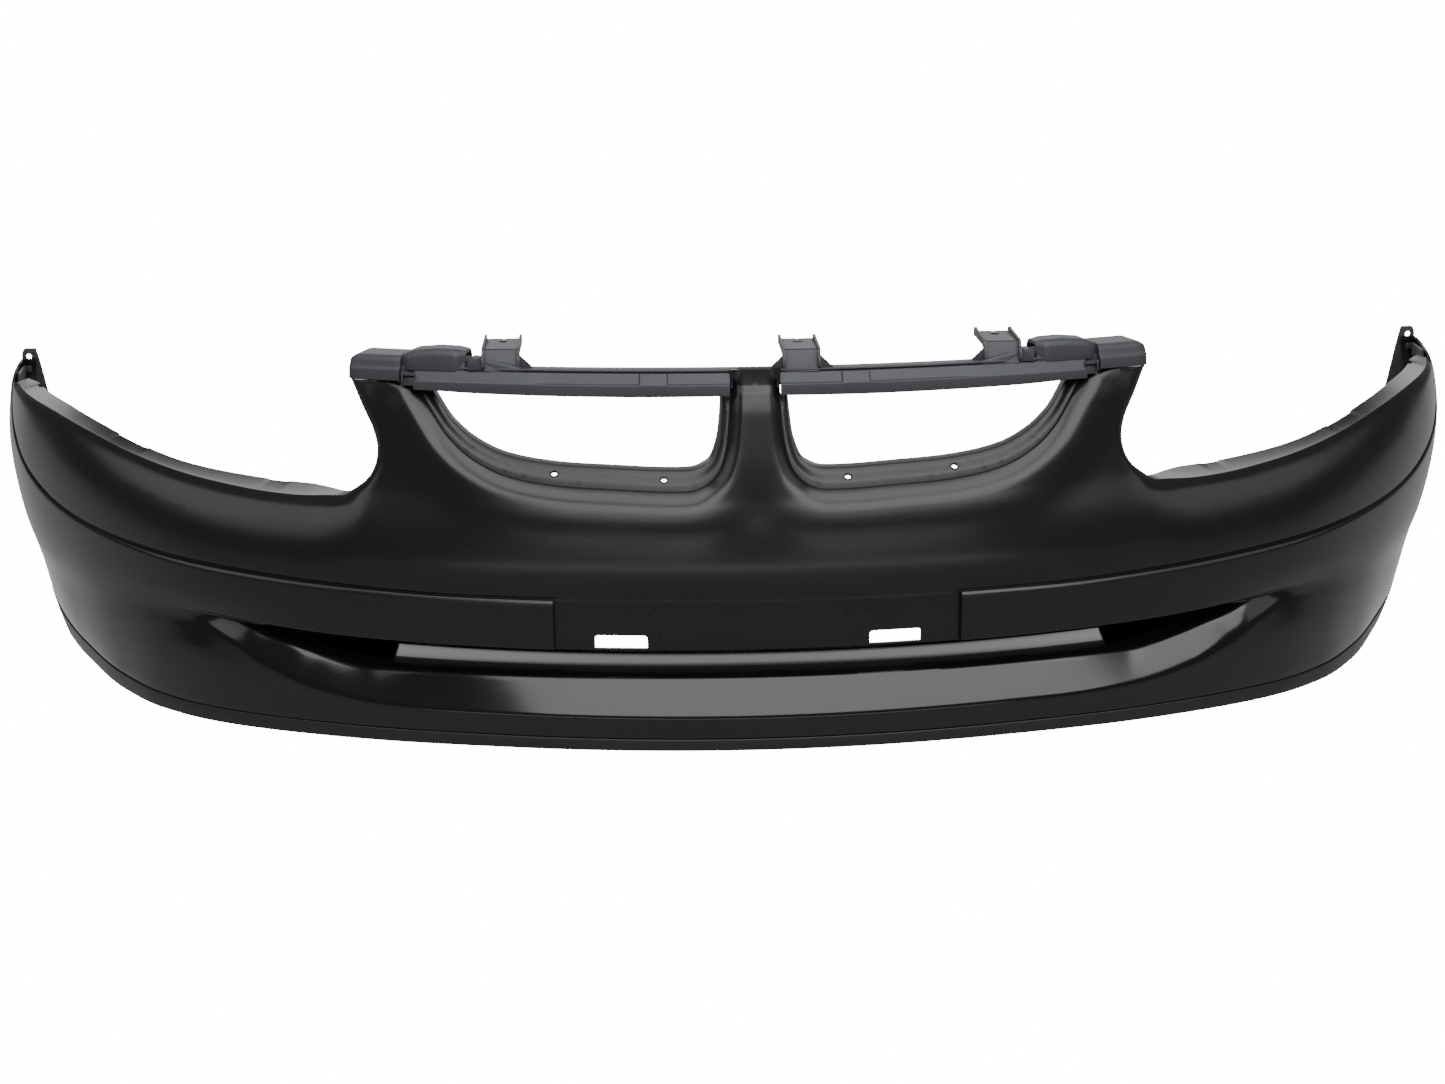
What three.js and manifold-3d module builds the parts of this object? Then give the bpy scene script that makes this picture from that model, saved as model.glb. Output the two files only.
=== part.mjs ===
// Front bumper cover of a large sedan: one outer skin with smaller mouldings fixed to it.
// Millimetres, +Z up, the car's nose looks along -Y, the part rests on its chin lip at z = 0.
// Everything is laid out along an elliptical plan line: s is the distance along that line from
// the centre of the car (negative toward -X), h is the offset outward from it, z is the height.
import * as THREE from 'three';
import { mergeVertices } from 'three/addons/utils/BufferGeometryUtils.js';
import Module from 'manifold-3d';

// ---- driving dimensions ----
const HALF_WIDTH = 895;      // half axis of the plan ellipse across the car
const DEPTH = 560;           // half axis of the plan ellipse along the car
const WALL = 3;              // moulding thickness
const GAP = 0.3;             // clearance between touching pieces
const WING_END = 1150;       // s of the wheel-arch end of the wings
const HORN_TOP = 370;        // height of the horns beside the grille
const PILLAR_TOP = 384;      // height of the pillar between the grilles
const PLATE_HALF = 206;      // half width of the number-plate window
const PLATE_Z = [109, 162];  // height of the number-plate window
const SLOT_HALF = 400;       // half width of the lower air slot
const TONGUE_Y = 551;        // front face of the fascia tongue at the wing end
const EAR_Y = 556.5;         // front face of the ear plate
const CLIP_S = [130, 390, 640, 880];
const RAIL_CLIP_X = [358, 388];
const BRACKET_X = [-253, 47, 253];

// ---- colours ----
const FINISH = {
  fascia: { color: 0x17181a, roughness: 0.38 },
  rail: { color: 0x2b2c2e, roughness: 0.6 },
  lip: { color: 0x1e1f20, roughness: 0.75 },
  frame: { color: 0x242527, roughness: 0.5 },
  clip: { color: 0x101011, roughness: 0.55 },
};

// ---- smooth curve through [x, y] pairs, symmetric in x ----
function curve(pairs) {
  const n = pairs.length;
  const x = pairs.map((p) => p[0]);
  const y = pairs.map((p) => p[1]);
  const d = x.slice(1).map((v, i) => (y[i + 1] - y[i]) / (v - x[i]));
  const m = x.map((_, i) => {
    if (i === 0 || i === n - 1 || d[i - 1] * d[i] <= 0) return 0;
    return (2 * d[i - 1] * d[i]) / (d[i - 1] + d[i]);
  });
  return (v) => {
    const a = Math.min(Math.max(Math.abs(v), x[0]), x[n - 1]);
    let k = 0;
    while (k < n - 2 && a > x[k + 1]) k += 1;
    const w = x[k + 1] - x[k];
    const t = (a - x[k]) / w;
    const u = 1 - t;
    return y[k] * u * u * (1 + 2 * t) + y[k + 1] * t * t * (3 - 2 * t)
      + w * t * u * (m[k] * u - m[k + 1] * t);
  };
}
const mix = (a, b, t) => a + (b - a) * t;
const ramp = (v, a, b) => {
  const t = Math.min(Math.max((v - a) / (b - a), 0), 1);
  return t * t * (3 - 2 * t);
};
const steps = (a, b, n) => Array.from({ length: n + 1 }, (_, i) => mix(a, b, i / n));

// ---- plan line ----
const PLAN = new THREE.EllipseCurve(0, DEPTH, HALF_WIDTH, DEPTH, -Math.PI / 2, 0);
PLAN.arcLengthDivisions = 2000;
const PLAN_LENGTH = PLAN.getLength();
function at(s, h, z) {
  const u = Math.min(Math.abs(s) / PLAN_LENGTH, 1);
  const p = PLAN.getPointAt(u);
  const n = PLAN.getTangentAt(u);
  const x = p.x + n.y * h;
  return [s < 0 ? -x : x, p.y - n.x * h, z];
}
// the s whose point at offset h stands at a given x
function sAtX(x, h) {
  let s = Math.abs(x);
  for (let i = 0; i < 12; i += 1) s += Math.abs(x) - at(s, h, 0)[0];
  return x < 0 ? -s : s;
}

// ---- shape of the skin ----
const creaseZ = curve([[0, 163], [300, 163], [425, 166], [630, 175], [780, 191], [840, 203], [880, 215],
  [920, 230], [960, 250], [1000, 272], [1036, 292], [1100, 303], [1150, 308]]);
const ledgeZ = curve([[400, 262], [430, 251], [490, 247], [560, 249], [670, 261], [785, 283], [850, 295],
  [950, 301], [1036, 302], [1090, 309], [1150, 314]]);
const bellyH = curve([[0, 0], [600, 0], [760, -5], [900, -12], [1040, -21], [1150, -22]]);
const lipBottomH = curve([[0, -1], [250, -2], [430, 4], [587, 10], [663, 4], [739, -13], [859, -44],
  [955, -57], [1047, -62], [1150, -60]]);
const jointZ = curve([[0, 13], [600, 16], [760, 20], [900, 30], [1040, 46], [1150, 54]]);
const lean = curve([[0, 1], [30, 0.78], [50, 0.66], [90, 0.5], [110, 0.4], [130, 0.28], [150, 0.18],
  [180, 0.07], [220, 0]]);
const crestZ = curve([[0, 35], [314, 37], [387, 41], [472, 54], [515, 75], [550, 104], [575, 110]]);
const scoopDepth = curve([[0, 68], [400, 66], [460, 48], [510, 22], [550, 4], [575, 0]]);
const bandFootZ = curve([[0, 109], [206, 109.5], [400, 112], [575, 117]]);
const centreH = curve([[168, 0], [190, -1], [210, -5], [230, -11], [250, -19], [262, -24], [300, -36],
  [340, -48], [388, -62]]);
const shoulder = curve([[0, 1], [10, 0.73], [25, 0.43], [45, 0.17], [65, 0.03], [80, 0]]);
const shoulderDepth = curve([[430, 30], [560, 30], [700, 26], [850, 18], [1040, 12]]);

const lowerH = (s, z) => mix(bellyH(s), lipBottomH(s), lean(z))
  - 12 * ramp(z, 235, 330) * ramp(Math.abs(s), 850, 1000);
function upperH(s, z) {
  const wing = bellyH(s) - shoulderDepth(s) * shoulder(Math.max(ledgeZ(s) - z, 0));
  return mix(centreH(Math.max(z, 168)), wing, ramp(Math.abs(s), 385, 470));
}
// the wheel arch takes a shallow bite out of the wing end
const archBite = (s, z) => 30 * Math.max(0, 1 - ((z - 140) / 150) ** 2) * ramp(Math.abs(s), 1000, 1150);

// one cross-section of the skin, foot to top: [h, z, inward dh, inward dz]
function skinSection(s) {
  const a = Math.abs(s);
  const zj = jointZ(s);
  const foot = lowerH(s, zj);
  const open = 1 - ramp(a, 545, 600);
  const zc = crestZ(s);
  const zb = bandFootZ(s);
  const d = scoopDepth(s);
  const face = (z) => mix(lowerH(s, z), 4, open);
  const outboard = (t) => mix(mix(zj, 110, 0.3), 122, t);
  const point = (h, z, dh, dz, t) => {
    const zo = outboard(t);
    return [mix(lowerH(s, zo), h, open), mix(zo, z, open), mix(-WALL, dh, open), mix(0, dz, open)];
  };
  const crest = mix(0, 4, ramp(zc, 60, 110));
  const top = ledgeTop(s);
  const zcr = creaseZ(s);
  const mid = mix(mix(122, zb, open), zcr, 0.55);
  const rows = [
    [foot - 30, zj, 0, WALL],
    [foot, zj, -WALL, WALL],
    point(mix(foot, crest, 0.8), mix(zj, zc, 0.6), -WALL, 0, 0),
    point(crest - 1, zc, -WALL, -1.5, 0.2),
    point(crest - 8, zc + 5, -1, -WALL, 0.4),
    point(-0.5 * d, mix(zc + 5, 88, 0.5), 0.5, -WALL, 0.55),
    point(-d, mix(84, zb - 4, ramp(a, 400, 560)), -WALL, -2, 0.7),
    point(-d, zb + 4, -WALL, WALL, 0.85),
    point(4, zb, -WALL, WALL, 1),
    [face(mid), mid, -WALL, 0],
    [face(zcr - 6) + 1, zcr - 5, -WALL, 0],
    [upperH(s, zcr), zcr + 2, -WALL, 0],
  ];
  for (const t of [0.12, 0.28, 0.44, 0.62, 0.82, 1]) {
    const z = mix(zcr + 2, top, t);
    rows.push([upperH(s, z), z, -WALL, 0]);
  }
  return rows;
}
// raw top edge of the skin before the headlamp recess is cut out
function ledgeTop(s) {
  return mix(392, ledgeZ(s), Math.min(Math.max((Math.abs(s) - 440) / 40, 0), 1));
}

// ---- solids ----
const wasm = await Module();
wasm.setup();
// a closed geometry as a solid, turned the right way out
function solid(geometry) {
  geometry.deleteAttribute('normal');
  geometry.deleteAttribute('uv');
  const geo = mergeVertices(geometry);
  const pos = geo.attributes.position;
  const idx = geo.index.array;
  const [a, b, c] = [0, 1, 2].map(() => new THREE.Vector3());
  const faces = [];
  let volume = 0;
  for (let i = 0; i < idx.length; i += 3) {
    const [p, q, r] = [idx[i], idx[i + 1], idx[i + 2]];
    if (p !== q && q !== r && r !== p) {
      faces.push([p, q, r]);
      a.fromBufferAttribute(pos, p);
      b.fromBufferAttribute(pos, q);
      c.fromBufferAttribute(pos, r);
      volume += a.dot(b.cross(c));
    }
  }
  const triVerts = volume > 0 ? faces : faces.map(([p, q, r]) => [p, r, q]);
  return new wasm.Manifold(new wasm.Mesh({
    numProp: 3,
    vertProperties: Float32Array.from(pos.array),
    triVerts: Uint32Array.from(triVerts.flat()),
  }));
}
// a ring of points repeated along a path; the two ends are closed by the given triangles
function loft(rings, cap) {
  const n = rings[0].length;
  const tris = [];
  for (let c = 0; c + 1 < rings.length; c += 1) {
    for (let i = 0; i < n; i += 1) {
      const a = c * n + i;
      const b = c * n + ((i + 1) % n);
      tris.push(a, b, b + n, a, b + n, a + n);
    }
  }
  const last = (rings.length - 1) * n;
  for (const [i, j, k] of cap) tris.push(k, j, i, last + i, last + j, last + k);
  const geometry = new THREE.BufferGeometry();
  geometry.setAttribute('position', new THREE.Float32BufferAttribute(rings.flat(2), 3));
  geometry.setIndex(tris);
  return solid(geometry);
}
// a sheet with an outer row and an inner row of points at every step
function sheet(columns) {
  const n = columns[0].outer.length;
  const cap = [];
  for (let i = 0; i + 1 < n; i += 1) {
    cap.push([i, i + 1, 2 * n - 2 - i], [i, 2 * n - 2 - i, 2 * n - 1 - i]);
  }
  return loft(columns.map((c) => [...c.outer, ...c.inner.slice().reverse()]), cap);
}
// a closed (h, z) section carried along the plan line
function sweep(sList, section) {
  const flat = section(sList[0]).map(([h, z]) => new THREE.Vector2(h, z));
  const cap = THREE.ShapeUtils.triangulateShape(flat, []);
  return loft(sList.map((s) => section(s).map(([h, z]) => at(s, h, z))), cap);
}
// an outline in (x, z) pushed along Y
function prism(outline, y0, y1) {
  const shape = new THREE.Shape(outline.map(([x, z]) => new THREE.Vector2(x, z)));
  const geometry = new THREE.ExtrudeGeometry(shape, { depth: y1 - y0, bevelEnabled: false });
  return solid(geometry.rotateX(Math.PI / 2).translate(0, y1, 0));
}
// an outline in (y, z) pushed along X
function prismAcross(outline, x0, x1) {
  const shape = new THREE.Shape(outline.map(([y, z]) => new THREE.Vector2(y, z)));
  const geometry = new THREE.ExtrudeGeometry(shape, { depth: x1 - x0, bevelEnabled: false });
  return solid(geometry.rotateX(Math.PI / 2).rotateZ(Math.PI / 2).translate(x0, 0, 0));
}
function block(x0, x1, y0, y1, z0, z1) {
  const geometry = new THREE.BoxGeometry(x1 - x0, y1 - y0, z1 - z0);
  return solid(geometry.translate((x0 + x1) / 2, (y0 + y1) / 2, (z0 + z1) / 2));
}
// a turned body: profile of [radius, height] from bottom to top about an axis
function turned(profile, sides, origin, axis = [0, 0, 1]) {
  const ends = [[0, profile[0][1]], ...profile, [0, profile[profile.length - 1][1]]];
  const geometry = new THREE.LatheGeometry(ends.map(([r, t]) => new THREE.Vector2(r, t)), sides);
  const turn = new THREE.Quaternion().setFromUnitVectors(
    new THREE.Vector3(0, 1, 0), new THREE.Vector3(...axis).normalize());
  return solid(geometry.applyQuaternion(turn).translate(...origin));
}
const mirrored = (m) => m.mirror([1, 0, 0]);

// ---- outlines ----
// the open edge of the skin around the +X grille aperture, horn side first
const APERTURE = [[343, 364], [326, 338], [309, 314], [285, 294], [251, 279], [201, 271], [141, 268],
  [90, 266], [60, 268], [40, 282], [31, 304], [27, 334], [25, 366]];
// the horn's outer side and the corner into the headlamp ledge, on the +X side
const HORN_SIDE = [[404, 410], [404, 388], [403, 366], [396, 342], [386, 318], [384, 300],
  [388, 284], [398, 272], [414, 264], [436, 258]];

// where the lip bolts to the fascia: point under the flange and its up direction
function clipFrame(s) {
  const h = lowerH(s, jointZ(s)) - 16;
  const here = new THREE.Vector3(...at(s, h, jointZ(s)));
  const along = new THREE.Vector3(...at(s + 5, lowerH(s + 5, jointZ(s + 5)) - 16, jointZ(s + 5))).sub(here);
  const inward = new THREE.Vector3(...at(s, h - 5, jointZ(s))).sub(here);
  const up = along.cross(inward).normalize();
  if (up.z < 0) up.negate();
  return { origin: here.toArray(), axis: up.toArray() };
}
function clipHole(s) {
  const f = clipFrame(s);
  return turned([[4.1, -12], [4.1, 12]], 8, f.origin, f.axis);
}

// ---- the pieces ----
function fascia() {
  const stations = steps(-WING_END, WING_END, 52);
  let body = sheet(stations.map((s) => {
    const rows = skinSection(s);
    const place = (h, z) => at(s - Math.sign(s) * archBite(s, z), h, z);
    return {
      outer: rows.map(([h, z]) => place(h, z)),
      inner: rows.map(([h, z, dh, dz]) => place(h + dh, z + dz)),
    };
  }));
  const aperture = prism([...APERTURE, [25, 420], [343, 420]], -50, 300);
  const lastLedge = sAtX(470, -30);
  const lamp = prism([...HORN_SIDE, [470, ledgeZ(lastLedge) - 1], [500, 330], [500, 410]], -50, 300);
  const hornTop = block(340, 420, -50, 300, HORN_TOP, 420);
  for (const cut of [aperture, lamp, hornTop]) body = body.subtract(cut).subtract(mirrored(cut));
  body = body.subtract(block(-60, 60, -50, 300, PILLAR_TOP, 420));
  // headlamp shelf behind the ledge crease
  const shelfS = steps(432, 1040, 15);
  const shelf = sheet(shelfS.map((s) => {
    const h = upperH(s, ledgeZ(s));
    const z = ledgeZ(s);
    const back = mix(30, 20, ramp(s, 500, 700));
    const rise = mix(5, 3, ramp(s, 500, 700));
    return {
      outer: [at(s, h - 0.6, z - 0.2), at(s, h - 10, z + rise / 2), at(s, h - back, z + rise)],
      inner: [at(s, h - 0.6, z - WALL), at(s, h - 10, z + rise / 2 - WALL), at(s, h - back, z + rise - WALL)],
    };
  }));
  // tab on top of each horn for the header rail
  const tab = sweep([sAtX(345, -60), sAtX(372, -60), sAtX(400, -60)],
    () => [[-56, HORN_TOP - WALL], [-56, HORN_TOP - 0.01], [-90, HORN_TOP - 0.01], [-90, HORN_TOP - WALL]]);
  // tongue that hooks over the ear plate
  const tongue = prism([[846, 270], [868, 270], [864, 296], [860, 310], [846, 310]],
    TONGUE_Y, TONGUE_Y + WALL).subtract(block(850, 858, 500, 600, 290, 300));
  for (const piece of [shelf, tab, tongue]) body = body.add(piece).add(mirrored(piece));
  // number-plate window and lower air slot
  const slot = steps(-SLOT_HALF, SLOT_HALF, 18);
  body = body.subtract(sweep(slot, (s) => {
    const roof = bandFootZ(s) + 14;
    return [[-24, 88], [-24, roof], [-90, roof], [-90, 88]];
  }));
  body = body.subtract(block(-PLATE_HALF, PLATE_HALF, -40, 100, 100, PLATE_Z[1]));
  for (const s of CLIP_S) body = body.subtract(clipHole(s)).subtract(clipHole(-s));
  for (const x of RAIL_CLIP_X) {
    const hole = turned([[3.6, HORN_TOP - 8], [3.6, HORN_TOP + 4]], 8, railClipSeat(x));
    body = body.subtract(hole).subtract(mirrored(hole));
  }
  return body;
}

function lowerLip() {
  let body = sweep(steps(-WING_END + 24, WING_END - 24, 52), (s) => {
    const z = jointZ(s) - GAP;
    const top = lowerH(s, jointZ(s)) + 0.8;
    const low = lipBottomH(s) + 0.8;
    return [[low, 0], [top, z], [top - 30, z], [top - 30, z - WALL], [top - 4, z - WALL], [low - 4, 0]];
  });
  for (const s of CLIP_S) body = body.subtract(clipHole(s)).subtract(clipHole(-s));
  return body;
}

function lipClip(s) {
  const f = clipFrame(s);
  const z = -GAP - WALL - GAP;
  return turned([[9, z - 2.5], [10, z - 1], [10, z], [3.8, z], [3.8, WALL + GAP], [5.2, WALL + 2],
    [3.6, WALL + 7], [2, WALL + 10]], 10, f.origin, f.axis);
}

const railClipSeat = (x) => [x, at(sAtX(x, -72), -72, 0)[1], 0];
function railClip(x) {
  const z = HORN_TOP;
  return turned([[7, z - WALL - 2.5], [8, z - WALL - 0.3], [3.3, z - WALL - 0.3], [3.3, z + WALL + 0.6],
    [4.2, z + WALL + 2], [2, z + WALL + 7]], 8, railClipSeat(x));
}

function headerRail() {
  // open channel over both apertures, set back behind the pillar
  const bar = sweep(steps(sAtX(-341, -52), sAtX(341, -52), 18), () => [[-50, 361], [-52, 371], [-59, 381],
    [-60, 383.5], [-76, 383.5], [-76, 366], [-73, 366], [-73, 380.5], [-62, 380.5], [-56, 371], [-53, 361]]);
  let body = bar.subtract(block(-29, 29, -20, 68, 340, PILLAR_TOP + GAP));
  // box on top of each horn, open underneath, with a foot on the horn tab
  const endS = [sAtX(352, -60), sAtX(370, -60), sAtX(388, -60), sAtX(403, -60)];
  const foot = sweep(endS, () => {
    const z = HORN_TOP + GAP;
    return [[-47, z], [-48.5, z + 12], [-52, z + 20], [-58, z + 24], [-92, z + 24], [-94, z], [-91, z],
      [-89, z + 21], [-60, z + 21], [-55, z + 18], [-51.5, z + 12], [-51, z + WALL], [-88, z + WALL],
      [-88, z]];
  });
  // hood from the foot to the outer bracket, standing on the bar
  const hoodS = [sAtX(293, -60), sAtX(312, -60), sAtX(332, -60), sAtX(354, -60)];
  const hood = sweep(hoodS, () => [[-57, 379], [-58, 395], [-62, 400], [-92, 400], [-94, 383], [-91, 383],
    [-89, 397], [-63, 397], [-61, 394], [-60, 379]]);
  for (const part of [foot, hood]) body = body.add(part).add(mirrored(part));
  for (const x of BRACKET_X) body = body.add(railBracket(x));
  for (const x of RAIL_CLIP_X) {
    const hole = turned([[3.6, HORN_TOP - 1], [3.6, HORN_TOP + 5]], 8, railClipSeat(x));
    body = body.subtract(hole).subtract(mirrored(hole));
  }
  return body;
}

// bracket: flat plate with a bolt hole, web down to the bar, a rib on each side, gusset behind the web
function railBracket(x) {
  const y = at(sAtX(x, -80), -80, 0)[1];
  const half = 16.5;
  const rib = 2.7;
  const section = [[y - 20, 381], [y - 10, 401], [y + 48, 401], [y + 48, 398], [y - 8, 398], [y - 16, 381]];
  const side = [[y - 22, 384], [y - 12, 404], [y + 40, 406], [y + 48, 406], [y + 48, 392], [y - 6, 390],
    [y - 15, 382]];
  let body = prismAcross(section, x - half, x + half);
  body = body.add(prismAcross(side, x - half - rib, x - half))
    .add(prismAcross(side, x + half, x + half + rib))
    .add(prism([[x - 32, 382], [x - half - 1, 398], [x - half - 1, 382]], y - 14, y - 11))
    .add(prism([[x + 32, 382], [x + half + 1, 382], [x + half + 1, 398]], y - 14, y - 11));
  return body.subtract(turned([[4.5, 380], [4.5, 420]], 10, [x, y + 30, 0]));
}

// seat ring behind the skin edge of one aperture, open at the top
function grilleFrame() {
  const edge = APERTURE.slice().reverse();
  edge[0] = [25, 356];
  edge[edge.length - 1] = [338, 357];
  const columns = edge.map(([x, z], i) => {
    const a = edge[Math.max(i - 1, 0)];
    const b = edge[Math.min(i + 1, edge.length - 1)];
    const len = Math.hypot(b[0] - a[0], b[1] - a[1]);
    const n = [-(b[1] - a[1]) / len, (b[0] - a[0]) / len];
    const width = 6 + 11.5 * Math.max(0, n[1]);
    const pts = (depth) => [[-7, depth], [width * 0.4, depth], [width * 0.7, depth + 5],
      [width, depth + 6], [width + 2.5, depth + 17]]
      .map(([w, d]) => {
        const zz = z + n[1] * w;
        const xx = x + n[0] * w;
        const h = centreH(zz) - d;
        return at(sAtX(xx, h), h, zz);
      });
    return { outer: pts(9), inner: pts(9 + WALL) };
  });
  let body = sheet(columns);
  for (const [x, z] of [[203, 279], [92.5, 275]]) {
    const hole = turned([[2.6, -120], [2.6, 120]], 10, [x, 60, z], [0, 1, 0]);
    body = body.subtract(hole);
  }
  return body;
}

// recessed number-plate panel with flanges behind the skin and two open-bottomed notches
function platePlinth() {
  const s1 = sAtX(PLATE_HALF - GAP, -3);
  const face = sweep(steps(-s1, s1, 9), () => [[-3, PLATE_Z[0]], [-3, PLATE_Z[1] - GAP],
    [-6, PLATE_Z[1] - GAP], [-6, PLATE_Z[0]]]);
  const s2 = sAtX(PLATE_HALF + 10, -6);
  const back = sweep(steps(-s2, s2, 9), () => [[-4.5, 115], [-4.5, PLATE_Z[1] + 8], [-8, PLATE_Z[1] + 8],
    [-8, 115]]);
  let body = face.add(back);
  const notch = prism([[112, 90], [112, 122], [115, 124.5], [162, 124.5], [165, 122], [165, 90]], -20, 60);
  for (const m of [notch, mirrored(notch)]) body = body.subtract(m);
  return body;
}

// ear at the +X wing end: plate across the wing, leg along the inside of the skin, snap hook
function fenderBracket() {
  const plate = prism([[832, 236], [862, 236], [866, 262], [863, 312], [860, 318], [846, 318],
    [842, 300]], EAR_Y, EAR_Y + WALL);
  const leg = sweep(steps(1085, 1138, 3), (s) => {
    const h = (z) => bellyH(s) - 0.13 * (z - 224) - WALL - 2;
    return [[h(240), 240], [h(270), 270], [h(300), 300], [h(300) - WALL, 300], [h(270) - WALL, 270],
      [h(240) - WALL, 240]];
  });
  const bridge = block(850, 863, 534, EAR_Y + 1, 241, 262);
  const hook = block(850.6, 857.4, TONGUE_Y - 2, EAR_Y + 1, 290.6, 298);
  const hole = turned([[3.5, -20], [3.5, 20]], 10, [855, EAR_Y, 308], [0, 1, 0]);
  return plate.add(leg).add(bridge).add(hook).subtract(hole);
}

// ---- assembly ----
function mesh(name, finish, body) {
  const m = body.getMesh();
  const geo = new THREE.BufferGeometry();
  geo.setAttribute('position', new THREE.BufferAttribute(Float32Array.from(m.vertProperties), 3));
  geo.setIndex(new THREE.BufferAttribute(Uint32Array.from(m.triVerts), 1));
  geo.computeVertexNormals();
  const out = new THREE.Mesh(geo, new THREE.MeshStandardMaterial({ metalness: 0, ...FINISH[finish] }));
  out.name = name;
  return out;
}

const group = new THREE.Group();
group.name = 'bumper_cover';
const frame = grilleFrame();
const ear = fenderBracket();
group.add(
  mesh('bumper_fascia', 'fascia', fascia()),
  mesh('lower_lip', 'lip', lowerLip()),
  mesh('grille_header_rail', 'rail', headerRail()),
  mesh('left_grille_frame', 'frame', frame),
  mesh('right_grille_frame', 'frame', mirrored(frame)),
  mesh('plate_plinth', 'frame', platePlinth()),
  mesh('left_fender_bracket', 'rail', ear),
  mesh('right_fender_bracket', 'rail', mirrored(ear)),
);
[...CLIP_S, ...CLIP_S.map((s) => -s)].forEach((s, i) => {
  group.add(mesh(`lip_clip_${i + 1}`, 'clip', lipClip(s)));
});
[1, -1].forEach((side, i) => RAIL_CLIP_X.forEach((x, j) => {
  const pin = railClip(x);
  group.add(mesh(`rail_clip_${2 * i + j + 1}`, 'clip', side > 0 ? pin : mirrored(pin)));
}));
// centre the footprint on the origin, base at z = 0
const box = new THREE.Box3().setFromObject(group);
for (const m of group.children) {
  m.geometry.translate(0, -(box.min.y + box.max.y) / 2, -box.min.z);
}

export default group;
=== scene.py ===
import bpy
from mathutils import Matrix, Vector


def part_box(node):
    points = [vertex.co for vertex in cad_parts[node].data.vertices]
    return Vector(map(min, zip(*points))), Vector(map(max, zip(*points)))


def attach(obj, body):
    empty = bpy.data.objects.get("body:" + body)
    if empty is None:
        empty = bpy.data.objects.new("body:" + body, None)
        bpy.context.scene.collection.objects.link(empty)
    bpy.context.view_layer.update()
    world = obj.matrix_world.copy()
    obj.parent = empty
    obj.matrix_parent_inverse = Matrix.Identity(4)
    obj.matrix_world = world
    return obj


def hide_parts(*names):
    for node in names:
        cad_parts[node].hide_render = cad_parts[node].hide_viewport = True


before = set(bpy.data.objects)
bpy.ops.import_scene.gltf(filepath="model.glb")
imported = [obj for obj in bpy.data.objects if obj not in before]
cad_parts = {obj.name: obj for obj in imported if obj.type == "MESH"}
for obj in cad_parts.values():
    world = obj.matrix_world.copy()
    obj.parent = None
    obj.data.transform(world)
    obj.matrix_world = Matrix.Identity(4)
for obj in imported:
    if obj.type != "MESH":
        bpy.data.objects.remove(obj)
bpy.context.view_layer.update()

import math

import bmesh
import bpy
import numpy as np
from mathutils import Matrix, Vector
from mathutils.geometry import delaunay_2d_cdt

# The layout is the CAD model's: s is the distance along the elliptical plan line from the car's
# centre, h the offset outward from it, z the height, in millimetres. at() turns them into metres.
HALF_WIDTH, DEPTH = 895.0, 560.0
WALL, GAP = 3.0, 0.3
WING_END, UPPER_END = 1150.0, 1036.0
HORN_TOP, PILLAR_TOP = 370.0, 384.0
SLOT_END = 400.0
PLINTH_FOOT, PLINTH_TOP = 109.0, 161.6
NOTCH_NEAR, NOTCH_FAR, NOTCH_TOP = 112.0, 165.0, 124.5
TONGUE_Y, EAR_Y, EAR_BACK = 551.0, 556.5, 559.5
CLIP_S = (130, 390, 640, 880)
RAIL_CLIP_X = (358, 388)
CENTRE_BRACKET_X = 47
BRACKET_X = (-253, CENTRE_BRACKET_X, 253)
BRACKET_TOP, BRACKET_HALF, BRACKET_RIB = 401.0, 16.5, 2.6
SCREW_X, SCREW_RADIUS = (92.5, 203), 3.1
Y_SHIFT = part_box("left_fender_bracket")[1][1] * 1000 - EAR_BACK
PLATE_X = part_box("plate_plinth")[1][0] * 1000 - 10
MIRROR = np.array([-1, 1, 1])


# ---- small maths ----
def curve(pairs):
    """A smooth monotone curve through (x, y) pairs, the same for -x."""
    x, y = np.array(pairs, float).T
    d = np.diff(y) / np.diff(x)
    m = np.zeros_like(x)
    same = d[:-1] * d[1:] > 0
    m[1:-1][same] = 2 * d[:-1][same] * d[1:][same] / (d[:-1][same] + d[1:][same])

    def value(v):
        a = np.clip(np.abs(v), x[0], x[-1])
        k = np.clip(np.searchsorted(x, a, side="right") - 1, 0, len(x) - 2)
        w = x[k + 1] - x[k]
        t = (a - x[k]) / w
        u = 1 - t
        return (y[k] * u * u * (1 + 2 * t) + y[k + 1] * t * t * (3 - 2 * t)
                + w * t * u * (m[k] * u - m[k + 1] * t))

    return value


def mix(a, b, t):
    """a at t = 0, b at t = 1."""
    return a + (b - a) * t


def ramp(v, a, b):
    """0 up to a, 1 from b on, and a smooth step between them."""
    t = np.clip((v - a) / (b - a), 0, 1)
    return t * t * (3 - 2 * t)


def bell(v, centre, width):
    """1 at the centre, fading out over the width."""
    return np.exp(-(((v - centre) / width) ** 2))


# ---- plan line ----
ANGLE = np.linspace(0, math.pi / 2, 4001)
MID = (ANGLE[1:] + ANGLE[:-1]) / 2
RATE = np.hypot(HALF_WIDTH * np.cos(MID), DEPTH * np.sin(MID)) * (ANGLE[1] - ANGLE[0])
ARC = np.concatenate([[0], np.cumsum(RATE)])


def plan(s, h):
    """x and y of the point at s along the plan line and h outward from it, in millimetres."""
    a = np.interp(np.abs(s), ARC, ANGLE)
    nx, ny = np.sin(a) / HALF_WIDTH, -np.cos(a) / DEPTH
    size = np.hypot(nx, ny)
    x = HALF_WIDTH * np.sin(a) + nx / size * h
    y = DEPTH * (1 - np.cos(a)) + ny / size * h
    return np.where(np.asarray(s) < 0, -x, x), y


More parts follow.
